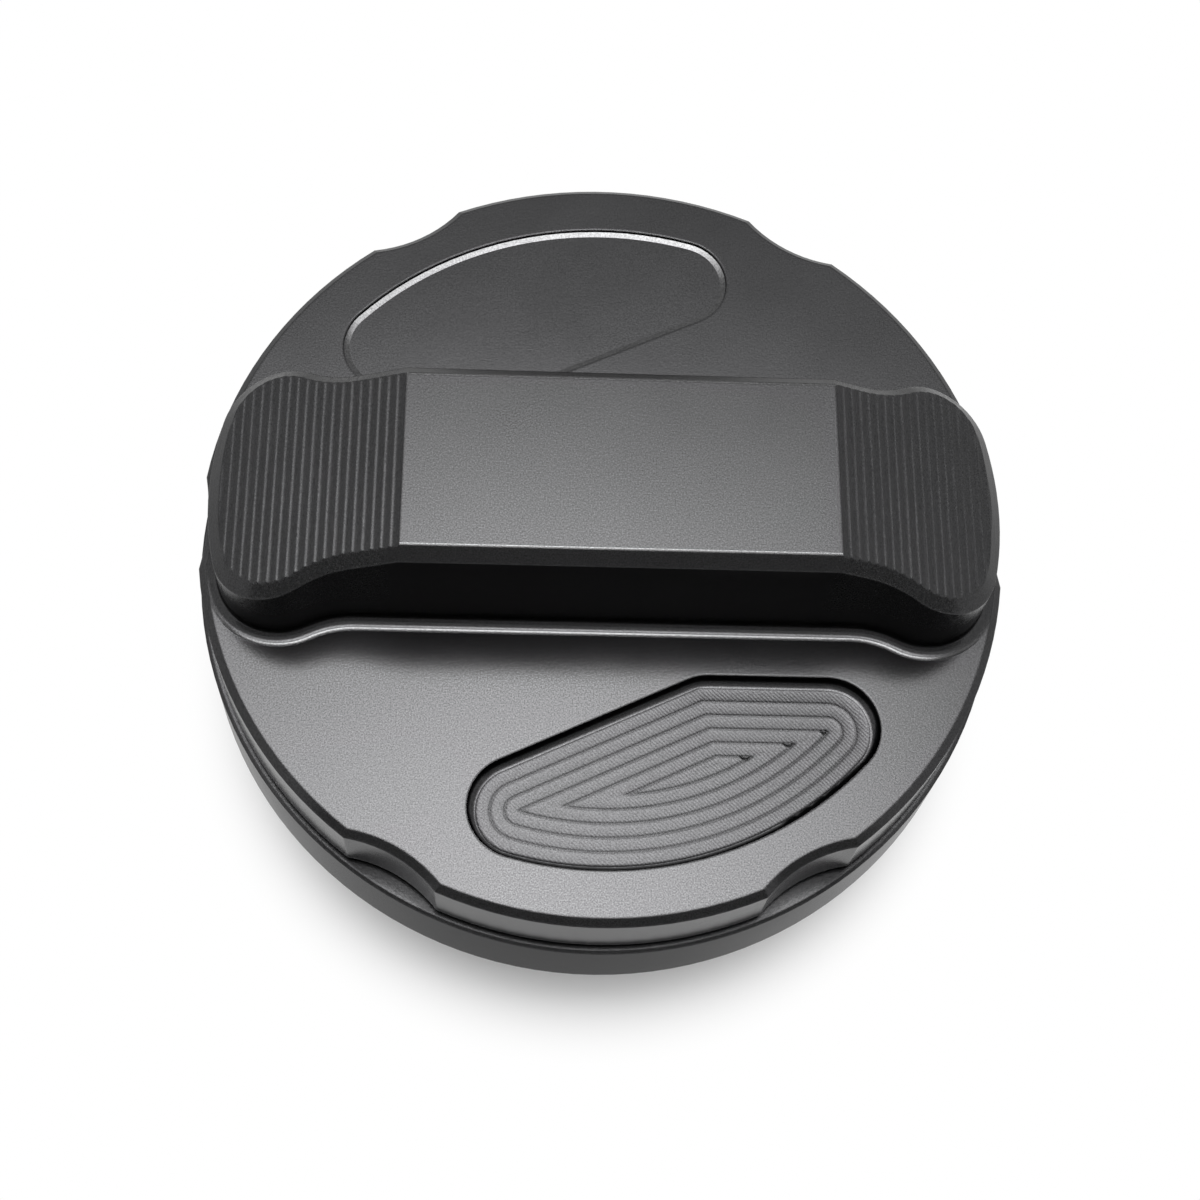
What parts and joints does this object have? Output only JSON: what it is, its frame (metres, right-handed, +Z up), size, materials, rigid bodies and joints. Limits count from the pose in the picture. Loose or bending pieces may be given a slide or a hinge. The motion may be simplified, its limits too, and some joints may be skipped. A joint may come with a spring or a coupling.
{
  "type": "fuel cap",
  "caption": "Round screw-on fuel cap with a dog-bone grip bar on a scalloped billet knob, a ratchet base flange, and a threaded neck plug with a vent valve inside.",
  "frame": {"origin": "centre of the neck's foot, at the bottom of the cap", "axes": "+Z up the cap's axis from neck to grip, X along the grip bar, Y across it"},
  "size_m": [0.0806, 0.0806, 0.0527],
  "materials": {
    "billet": "bead-blasted, anodised gunmetal grey",
    "acetal": "natural acetal",
    "moulding": "black glass-filled nylon",
    "steel": "bright spring steel",
    "rubber": "matt black rubber",
    "brass": "turned"
  },
  "bodies": {
    "base": {"base_flange": "billet", "threaded_plug": "moulding", "plug_screws": "steel", "slip_ring": "moulding", "retaining_ring": "steel", "neck_gasket": "rubber", "wave_spring": "steel", "spring_retainer": "steel", "snap_ring": "steel", "pressure_spring": "steel"},
    "turning_knob": {"knob": "billet", "drive_ring": "acetal", "drive_ring_screws": "steel"},
    "detent": {"detent_ring": "acetal"},
    "pressure_valve": {"pressure_plate": "brass", "valve_seal": "rubber", "vacuum_spring": "steel"},
    "vacuum_valve": {"vacuum_poppet": "brass", "poppet_clip": "steel"}
  },
  "joints": [
    {"name": "knob_ratchet", "type": "hinge", "parent": "base", "child": "turning_knob", "pos_m": [0, 0, 0.0302], "axis": [0, 0, 1], "range_deg": [-360, 0]},
    {"name": "detent_slide", "type": "slide", "parent": "base", "child": "detent", "axis": [0, 0, -1], "range_m": [0, 0.00105], "stiffness_N_per_m": 8000, "springref_m": -0.001, "deforming": ["wave_spring"]},
    {"name": "pressure_slide", "type": "slide", "parent": "base", "child": "pressure_valve", "axis": [0, 0, 1], "range_m": [0, 0.0025], "stiffness_N_per_m": 700, "springref_m": -0.006, "deforming": ["pressure_spring"]},
    {"name": "vacuum_slide", "type": "slide", "parent": "pressure_valve", "child": "vacuum_valve", "axis": [0, 0, -1], "range_m": [0, 0.0015], "stiffness_N_per_m": 60, "springref_m": -0.002, "deforming": ["vacuum_spring"]}
  ]
}
